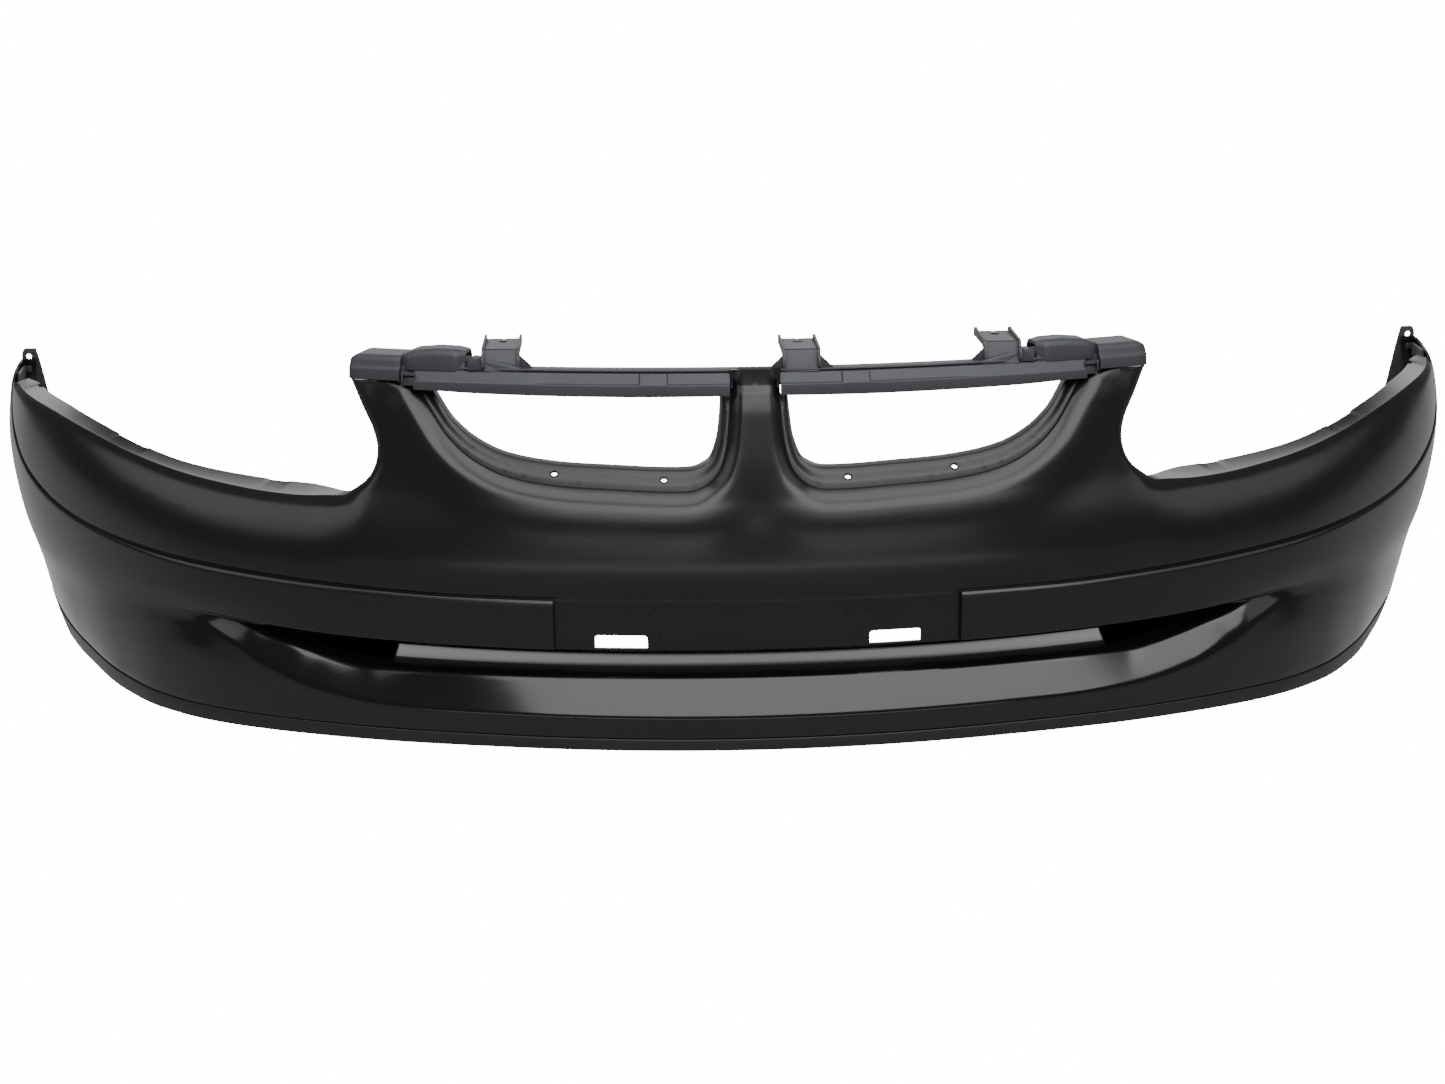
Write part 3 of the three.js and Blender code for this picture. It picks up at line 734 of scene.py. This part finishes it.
def rail_joints(shell, bar_end):
    """The hook and the bar's outer end beside the foot, and the walls behind both gaps of the hood."""
    y = y_at_x(346, -50)
    prism(shell, [(340, 375.6), (340, 378), (353.5, 379.6), (353.5, 370.4), (351.6, 370.4), (351.6, 377.2)],
          "y", y - 1.6, y + 5)
    prism(shell, [(337, 362), (358, 366), (358, 384), (337, 384)], "y", y + 9, y + 12)
    y = y_at_x(288, -60)
    prism(shell, [(282, 382), (294, 382), (294, 396), (282, 393)], "y", y + 6, y + 9)
    s = np.linspace(bar_end - 0.5, float(s_at_x(351, -55)), 5)
    moulding(shell, s, [(-53, 366, 0, 1, 1), (-50.6, 365, 1, 2, 1), (-51, 373.6, 1, 2, 1),
                        (-58, 376, 1, 2, 1), (-58, 372, 1, 1, 1)])


def rail_block(shell):
    """The raised base under the outer bracket, rising towards the hood."""
    s = span(232, 286, -60, 14)
    top = np.interp(plan(s, -60)[0], [232, 246, 284, 286], [384.2, 388, 394.5, 392.5])
    moulding(shell, s, [(-60, 381, 0, 1, 1), (-59.6, 382, 1, 2, 1), (-61, top, 2.5, 3, 1),
                        (-77, top, 2, 3, 1), (-79, 383, 1, 1, 1), (-76, 382, 1, 1, 1)])


def rail_mesh():
    shell = Shell()
    bar_start, bar_end = rail_bar(shell)
    rail_foot(shell)
    rail_hood(shell)
    rail_joints(shell, bar_end)
    rail_block(shell)
    shell.mirror()
    # strip behind the pillar
    s = np.linspace(-bar_start - 3, bar_start + 3, 9)
    moulding(shell, s, [(-68.5, 366, 0, 1, 1), (-68.5, 383.8, 1, 2, 1), (-75.5, 383.8, 1, 2, 1),
                        (-75.5, 366, 1, 1, 1)])
    for x in BRACKET_X:
        rail_bracket(shell, x)
    return shell.mesh("grille_header_rail_skin", bevel=0.35)


def bracket_hole(x, y):
    """A round hole, or on the centre bracket one narrowed in the middle."""
    if x != CENTRE_BRACKET_X:
        return circle(x, y, 4.5)
    a = np.linspace(0, 2 * math.pi, 25)[:-1]
    bow = 2.2 + 2.4 * np.abs(np.cos(a)) ** 1.5
    return np.stack([x + bow * np.cos(a) * 1.25, y + bow * np.sin(a) * 1.1], -1)


def rail_bracket(shell, x):
    """Notched plate with a bolt hole, a web down to the bar, and a rib and a gusset on each side."""
    y = y_at_x(x, -80)
    half, top = BRACKET_HALF, BRACKET_TOP
    edge = round_corners([(x - half, y - 10), (x + half, y - 10), (x + half, y + 48), (x + 3, y + 48),
                          (x + 2, y + 45), (x - 1, y + 45), (x - 2, y + 48), (x - half, y + 48)],
                         [0, 0, 2, 1, 0.8, 0.8, 1, 2])
    plate(shell, edge, bracket_hole(x, y + 30), "z", top, top - WALL, 8)
    prism(shell, [(y - 20.5, 381), (y - 10, top), (y - 6.5, top), (y - 17, 381)], "x", x - half, x + half)
    side = [(y - 21.5, 385), (y - 19.8, 393), (y - 13, 403.4), (y + 36, 405.2), (y + 43, 406),
            (y + 47, 405.4), (y + 48, 403), (y + 48, 397), (y - 7, 396.5), (y - 16, 383)]
    for edge_x in (x - half - BRACKET_RIB, x + half):
        prism(shell, round_corners(side, 1.5, 2), "x", edge_x, edge_x + BRACKET_RIB)
    for way in (-1, 1):
        near, far = x + way * (half + 1), x + way * (half + 16)
        prism(shell, [(near, 382), (near, 398), (near + way * 3, 395), (far, 383.5), (far, 382)], "y",
              y - 18, y - 15)


# ---- push clips ----
def clip_frame(s):
    """Where a lip clip sits under the fascia's flange, and the direction square to the flange."""
    def point(v, h):
        return at(v, lower_h(v, joint_z(v)) + h, joint_z(v))

    here = point(s, -16)
    up = np.cross(point(s + 5, -16) - here, point(s, -21) - here)
    up *= np.sign(up[2]) / np.linalg.norm(up)
    return here, up


def lip_clip_mesh(name, s):
    shell = Shell()
    z = -GAP - WALL - GAP
    here, up = clip_frame(s)
    profile = [(0, z - 1.6), (3.2, z - 1.6), (3.6, z - 2.4), (8.6, z - 2.2), (9.7, z - 1.2), (9.9, z - 0.4),
               (9.9, z), (3.7, z), (3.7, WALL + GAP), (5, WALL + 1.6), (4, WALL + 3.4), (4.4, WALL + 4),
               (3.2, WALL + 6), (3.5, WALL + 6.6), (2, WALL + 9.6), (0, WALL + 9.9)]
    turned(shell, profile, here, up)
    return shell.mesh(name)


def rail_clip_mesh(name, x):
    shell = Shell()
    z = HORN_TOP
    y = y_at_x(abs(x), -72)
    profile = [(0, z - WALL - 1.6), (2.6, z - WALL - 1.6), (3, z - WALL - 2.3), (7, z - WALL - 2),
               (7.8, z - WALL - 1), (7.8, z - WALL - 0.4), (3.2, z - WALL - 0.4), (3.2, z + WALL + 0.6),
               (4.1, z + WALL + 2), (2, z + WALL + 6.8), (0, z + WALL + 7)]
    turned(shell, profile, (x / 1000, (y + Y_SHIFT) / 1000, 0), (0, 0, 1), 20)
    return shell.mesh(name)


# ---- grille seat frame inside each aperture ----
FRAME_STEP = 4.0
# across the frame: distance v, then how far inward it is (fixed and as a share of the local width)
# and how far behind the skin
FRAME_SECTION = np.array([(0, -7, 0, 9), (14, 0, 0.4, 9.3), (14.8, 0, 0.44, 9.9), (22, 0, 0.7, 14.6),
                          (23, 0, 0.75, 15), (28, 0, 1, 15.4), (29, 0.3, 1.02, 16.5),
                          (38, 2, 1.02, 25)])
SCREW_V, FRAME_WALL = 18.6, 2.4


def frame_path():
    """The aperture's edge below the rail, its inward normals, and the distance along it."""
    edge = spline(APERTURE[::-1], FRAME_STEP)
    edge = edge[edge[:, 1] < 361.5]
    run = np.concatenate([[0], np.cumsum(np.hypot(*np.diff(edge, axis=0).T))])
    tangent = np.gradient(edge, axis=0)
    normal = np.stack([-tangent[:, 1], tangent[:, 0]], -1)
    normal /= np.linalg.norm(normal, axis=1)[:, None]
    if normal[len(normal) // 2, 1] < 0:
        normal = -normal
    return edge, normal, run


def frame_sheet(length, holes):
    """The frame rolled out flat, (distance along, distance across), with its screw holes."""
    across = FRAME_SECTION[:, 0]
    ends = np.arange(0, length - 2, FRAME_STEP)
    inner = np.arange(2, length, FRAME_STEP)
    rows = [np.stack([inner, np.full(len(inner), v)], -1) for v in across[1:-1]]
    outline = np.vstack([np.stack([ends, 0 * ends], -1), [(length, 0)], [(length, v) for v in across[1:]],
                         np.stack([ends[::-1], 0 * ends + across[-1]], -1),
                         [(0, v) for v in across[1:-1][::-1]]])
    return flat_sheet(outline, [circle(u, v, SCREW_RADIUS) for u, v in holes], FRAME_STEP, rows)


def grille_frame_mesh(name, mirrored):
    edge, normal, run = frame_path()
    wide = 6 + 11.5 * np.maximum(0, normal[:, 1])

    def place(p):
        u, v = p.T
        fixed, share, behind = (np.interp(v, FRAME_SECTION[:, 0], FRAME_SECTION[:, k]) for k in (1, 2, 3))
        w = fixed + share * np.interp(u, run, wide)
        x, z = (np.interp(u, run, edge[:, k]) + w * np.interp(u, run, normal[:, k]) for k in (0, 1))
        h = centre_h(z) - behind
        xyz = at(s_at_x(x, h), h, z)
        return xyz * MIRROR if mirrored else xyz

    foot = edge[:, 1] < 300
    holes = [(float(np.interp(x, edge[foot, 0], run[foot])), SCREW_V) for x in SCREW_X]
    flat, faces = frame_sheet(run[-1], holes)
    shell = Shell()
    shell.add(place(flat), faces)
    me = shell.mesh(name, FRAME_WALL, lambda centre: Vector((0, -1, 0.3)))

    rims = Shell()
    rim = [(SCREW_RADIUS, -FRAME_WALL), (SCREW_RADIUS, 0.4), (3.4, 0.8), (4.3, 0.8), (4.6, 0.5), (4.7, -0.5)]
    for u, v in holes:
        centre, across, along = place(np.array([(u, v), (u, v + 2), (u + 2, v)]))
        axis = np.cross(along - centre, across - centre)
        axis *= -np.sign(axis[1]) / np.linalg.norm(axis)
        turned(rims, rim, centre, axis)
    return joined(me, rims.mesh(name + "_rims"))


# ---- recessed number-plate panel ----
def plinth_outline():
    """The face with its two open-bottomed notches, as points no more than 16 mm apart."""
    half = PLATE_X - GAP
    foot, top = PLINTH_FOOT, PLINTH_TOP
    right = [(NOTCH_NEAR, foot), (NOTCH_NEAR, NOTCH_TOP), (NOTCH_FAR, NOTCH_TOP), (NOTCH_FAR, foot),
             (half, foot)]
    outline = [(-x, z) for x, z in right[::-1]] + right + [(half, top), (-half, top)]
    ring = round_corners(outline, [0, 1.5, 4, 4, 1.5, 1.5, 4, 4, 1.5, 0, 0, 0])
    dense = []
    for a, b in zip(ring, np.roll(ring, -1, 0)):
        n = max(1, int(np.linalg.norm(b - a) / 8))
        dense += [mix(a, b, k / n) for k in range(n)]
    return np.array(dense)


def plinth_mesh():
    front, behind = -2.6, (-5.7, -8)
    pilots = [(-109.5, 146), (-98.5, 123), (88, 146), (111.5, 148), (98, 124)]
    flat, faces = flat_sheet(plinth_outline(), [circle(x, z, 0.9, 8) for x, z in pilots], 8)
    shell = Shell()
    shell.add(at(s_at_x(flat[:, 0], front), front, flat[:, 1]), faces)

    me = shell.mesh("plate_plinth_skin", WALL, lambda centre: Vector((0, -1, 0)))

    # back flange, higher over the notches
    flange = Shell()
    for lo, hi, foot, count in ((-216, -166, 116, 14), (-111, 111, 116, 14), (166, 216, 116, 14),
                                (-166, 166, 126, 30)):
        s = s_at_x(np.linspace(lo, hi, count), -6)
        corners = [(behind[0], foot), (behind[0], 169.5), (behind[1], 169.5), (behind[1], foot)]
        sweep(flange, s, np.array([[corner] * count for corner in corners], float))
    return joined(me, flange.mesh("plinth_flange"))


# ---- ear bracket at each wing end ----
def ear_mesh(name, mirrored):
    """Flat ear with a screw hole beside the wing."""
    shell = Shell()
    outline = round_corners([(832, 236), (862, 236), (866, 262), (863, 312), (860, 318), (846, 318),
                             (842, 300)], [3, 3, 3, 3, 2, 2, 8])
    plate(shell, outline, circle(855, 308, 3.5), "y", EAR_Y, EAR_BACK, 7)

    # leg inside the wing, its bridge to the plate, and the hook through the fascia's tongue
    s = np.linspace(1085, 1138, 9)
    rows = []
    for z, back in ((240, 0), (270, 0), (300, 0), (300, WALL), (270, WALL), (240, WALL)):
        rows.append(np.stack([belly_h(s) - 0.13 * (z - 224) - WALL - 2 - back, 0 * s + z], -1))
    sweep(shell, s, np.array(rows))
    prism(shell, [(850, 241), (863, 241), (863, 262), (850, 262)], "y", 534, EAR_Y + 1)
    prism(shell, round_corners([(850.6, 290.6), (857.4, 290.6), (857.4, 298), (850.6, 298)], 1), "y",
          TONGUE_Y - 2, EAR_Y + 1)
    if mirrored:
        shell.verts = [v * MIRROR for v in shell.verts]
    return shell.mesh(name, bevel=0.3)


# ---- materials ----
POLISH_FADE = 0.03


def shader_node(nodes, kind, **inputs):
    """A new node with inputs set by name: from_min sets From Min."""
    node = nodes.new(kind)
    for name, value in inputs.items():
        node.inputs[name.replace("_", " ").title()].default_value = value
    return node


def material(name, colour, roughness, grain, grain_scale, wear=0.04, polish=None):
    """Moulded plastic: fine surface grain, slow colour and gloss variation.

    polish is a smoother finish (height in metres, roughness) for everything below that height.
    """
    m = bpy.data.materials.new(name)
    m.use_nodes = True
    nodes, links = m.node_tree.nodes, m.node_tree.links
    shader = nodes["Principled BSDF"]
    shader.inputs["IOR"].default_value = 1.49
    place = nodes.new("ShaderNodeTexCoord")
    slow = shader_node(nodes, "ShaderNodeTexNoise", scale=9.0, detail=4.0)
    fine = shader_node(nodes, "ShaderNodeTexNoise", scale=grain_scale, detail=3.0)
    for tex in (slow, fine):
        links.new(place.outputs["Object"], tex.inputs["Vector"])
    tint = nodes.new("ShaderNodeMix")
    tint.data_type = "RGBA"
    tint.inputs["A"].default_value = (*[c * 0.85 for c in colour], 1)
    tint.inputs["B"].default_value = (*[c * 1.2 for c in colour], 1)
    links.new(slow.outputs["Fac"], tint.inputs["Factor"])
    links.new(tint.outputs["Result"], shader.inputs["Base Color"])
    gloss = shader_node(nodes, "ShaderNodeMapRange", to_min=roughness - wear, to_max=roughness + wear)
    links.new(slow.outputs["Fac"], gloss.inputs["Value"])
    finish = gloss.outputs["Result"]
    if polish:
        height, smooth = polish
        split = nodes.new("ShaderNodeSeparateXYZ")
        links.new(place.outputs["Object"], split.inputs["Vector"])
        fade = shader_node(nodes, "ShaderNodeMapRange", from_min=height, from_max=height + POLISH_FADE,
                           to_min=smooth)
        links.new(split.outputs["Z"], fade.inputs["Value"])
        links.new(finish, fade.inputs["To Max"])
        finish = fade.outputs["Result"]
    links.new(finish, shader.inputs["Roughness"])
    bump = shader_node(nodes, "ShaderNodeBump", strength=grain, distance=0.0002)
    links.new(fine.outputs["Fac"], bump.inputs["Height"])
    links.new(bump.outputs["Normal"], shader.inputs["Normal"])
    return m


# ---- stage ----
# camera in front of the nose, a little to the car's right, looking 17 degrees down
CAMERA_PLACE = (-0.1276, -1.9155 + Y_SHIFT / 1000, 0.8098)
CAMERA_YAW, CAMERA_PITCH, CAMERA_ROLL = (math.radians(v) for v in (2.73, 17.0, -0.4))
LENS, SENSOR, FARTHEST = 50.57, 36, 200
FLOOR_HALF, FLOOR_LINES = 60, 24
FLOOR_FADE = (-0.7, 0.1)
WHITE, FLOOR_LIGHT, FLOOR_FRONT, ROOM_LIGHT = 16.0, 0.65, 0.4, 0.15
# name, place, target, width, depth, watts
SOFTBOXES = (
    ("main_softbox", (0.35, -1.9, 1.9), (0.1, -0.25, 0.1), 3.2, 1.5, 66),
    ("top_softbox", (0, -0.5, 2.0), (0, -0.3, 0.1), 2.4, 0.9, 26),
    ("front_strip", (0, -3.6, 0.25), (0, 0, 0.2), 4.4, 0.3, 11),
    ("left_softbox", (-2.6, -1.0, 2.0), (-0.5, -0.1, 0.3), 1.8, 1.8, 16),
    ("right_softbox", (2.6, -1.0, 2.0), (0.5, -0.1, 0.3), 1.8, 1.8, 11),
    ("rear_softbox", (0, 2.4, 1.5), (0, -0.1, 0.3), 4.5, 1.2, 36),
)


def area_light(name, place, target, size_x, size_y, power):
    lamp = bpy.data.lights.new(name, "AREA")
    lamp.shape = "RECTANGLE"
    lamp.size, lamp.size_y = size_x, size_y
    lamp.energy = power
    lamp.color = (0.95, 0.97, 1.0)
    ob = bpy.data.objects.new(name, lamp)
    ob.location = place
    ob.rotation_euler = (Vector(target) - Vector(place)).to_track_quat("-Z", "Y").to_euler()
    bpy.context.scene.collection.objects.link(ob)


def backdrop(glow, nodes, links, near, seen):
    """Strength seen straight on by the lens, and the weaker strength that lights the part."""
    path = nodes.new("ShaderNodeLightPath")
    level = shader_node(nodes, "ShaderNodeMapRange", to_min=near, to_max=seen)
    links.new(path.outputs["Is Camera Ray"], level.inputs["Value"])
    links.new(level.outputs["Result"], glow.inputs["Strength"])
    return level


def place_camera(scene):
    yaw, pitch, roll = CAMERA_YAW, CAMERA_PITCH, CAMERA_ROLL
    forward = Vector((math.sin(yaw) * math.cos(pitch), math.cos(yaw) * math.cos(pitch), -math.sin(pitch)))
    right = Vector((math.cos(yaw), -math.sin(yaw), 0))
    up = right.cross(forward)
    rolled_right = math.cos(roll) * right + math.sin(roll) * up
    rolled_up = -math.sin(roll) * right + math.cos(roll) * up
    cam = bpy.data.cameras.new("camera")
    cam.lens, cam.sensor_width, cam.clip_end = LENS, SENSOR, FARTHEST
    ob = bpy.data.objects.new("camera", cam)
    turn = Matrix((rolled_right, rolled_up, -forward)).transposed().to_4x4()
    ob.matrix_world = Matrix.Translation(CAMERA_PLACE) @ turn
    scene.collection.objects.link(ob)
    scene.camera = ob


def floor_material():
    """White to the lens; its light is dimmer in front, as the studio is lit from the sides and behind."""
    m = bpy.data.materials.new("floor_white")
    m.use_nodes = True
    nodes, links = m.node_tree.nodes, m.node_tree.links
    nodes.remove(nodes["Principled BSDF"])
    glow = shader_node(nodes, "ShaderNodeEmission", color=(1, 1, 1, 1))
    level = backdrop(glow, nodes, links, FLOOR_LIGHT, WHITE)
    place = nodes.new("ShaderNodeTexCoord")
    split = nodes.new("ShaderNodeSeparateXYZ")
    fade = shader_node(nodes, "ShaderNodeMapRange", from_min=FLOOR_FADE[0], from_max=FLOOR_FADE[1],
                       to_min=FLOOR_FRONT, to_max=FLOOR_LIGHT)
    links.new(place.outputs["Object"], split.inputs["Vector"])
    links.new(split.outputs["Y"], fade.inputs["Value"])
    links.new(fade.outputs["Result"], level.inputs["To Min"])
    links.new(glow.outputs["Emission"], nodes["Material Output"].inputs["Surface"])
    return m


def stage():
    scene = bpy.context.scene
    place_camera(scene)

    me = bpy.data.meshes.new("studio_floor")
    n = FLOOR_LINES
    lines = np.linspace(-FLOOR_HALF, FLOOR_HALF, n)
    me.from_pydata([(x, y, 0) for y in lines for x in lines], [],
                   [(j * n + i, j * n + i + 1, (j + 1) * n + i + 1, (j + 1) * n + i)
                    for j in range(n - 1) for i in range(n - 1)])
    floor = bpy.data.objects.new("studio_floor", me)
    scene.collection.objects.link(floor)
    me.materials.append(floor_material())

    world = bpy.data.worlds.new("studio")
    scene.world = world
    world.use_nodes = True
    tree = world.node_tree
    tree.nodes["Background"].inputs["Color"].default_value = (1, 1, 1, 1)
    backdrop(tree.nodes["Background"], tree.nodes, tree.links, ROOM_LIGHT, WHITE)
    for softbox in SOFTBOXES:
        area_light(*softbox)


# ---- build ----
SATIN = material("satin_black_polypropylene", (0.0042, 0.0042, 0.0048), 0.26, 0.03, 900, 0.03,
                 (0.1, 0.13))
LIP = material("grained_black_polypropylene", (0.006, 0.006, 0.0065), 0.42, 0.25, 1200)
piece("bumper_fascia_skin", fascia_mesh(), SATIN, ["bumper_fascia"])
piece("chin_lip_skin", lip_mesh(), LIP, ["lower_lip"])
RAIL = material("grey_black_polypropylene", (0.03, 0.031, 0.034), 0.5, 0.25, 1400)
FRAME = material("frame_polypropylene", (0.012, 0.012, 0.013), 0.38, 0.15, 1200)
NYLON = material("black_nylon", (0.02, 0.02, 0.02), 0.35, 0.1, 2000)
piece("grille_header_rail_skin", rail_mesh(), RAIL, ["grille_header_rail"], 30)
piece("plate_plinth_skin", plinth_mesh(), SATIN, ["plate_plinth"], 35)
for i, (side, mirrored) in enumerate((("left", False), ("right", True))):
    piece(side + "_grille_frame_skin", grille_frame_mesh(side + "_grille_frame_skin", mirrored), FRAME,
          [side + "_grille_frame"], 35)
    piece(side + "_fender_bracket_skin", ear_mesh(side + "_fender_bracket_skin", mirrored), RAIL,
          [side + "_fender_bracket"], 30)
    for j, s in enumerate(CLIP_S):
        name = f"lip_clip_{i * 4 + j + 1}"
        piece(name + "_skin", lip_clip_mesh(name + "_skin", -s if mirrored else s), NYLON,
              [name], 30)
    for j, x in enumerate(RAIL_CLIP_X):
        name = f"rail_clip_{i * 2 + j + 1}"
        piece(name + "_skin", rail_clip_mesh(name + "_skin", -x if mirrored else x), NYLON,
              [name], 30)
stage()
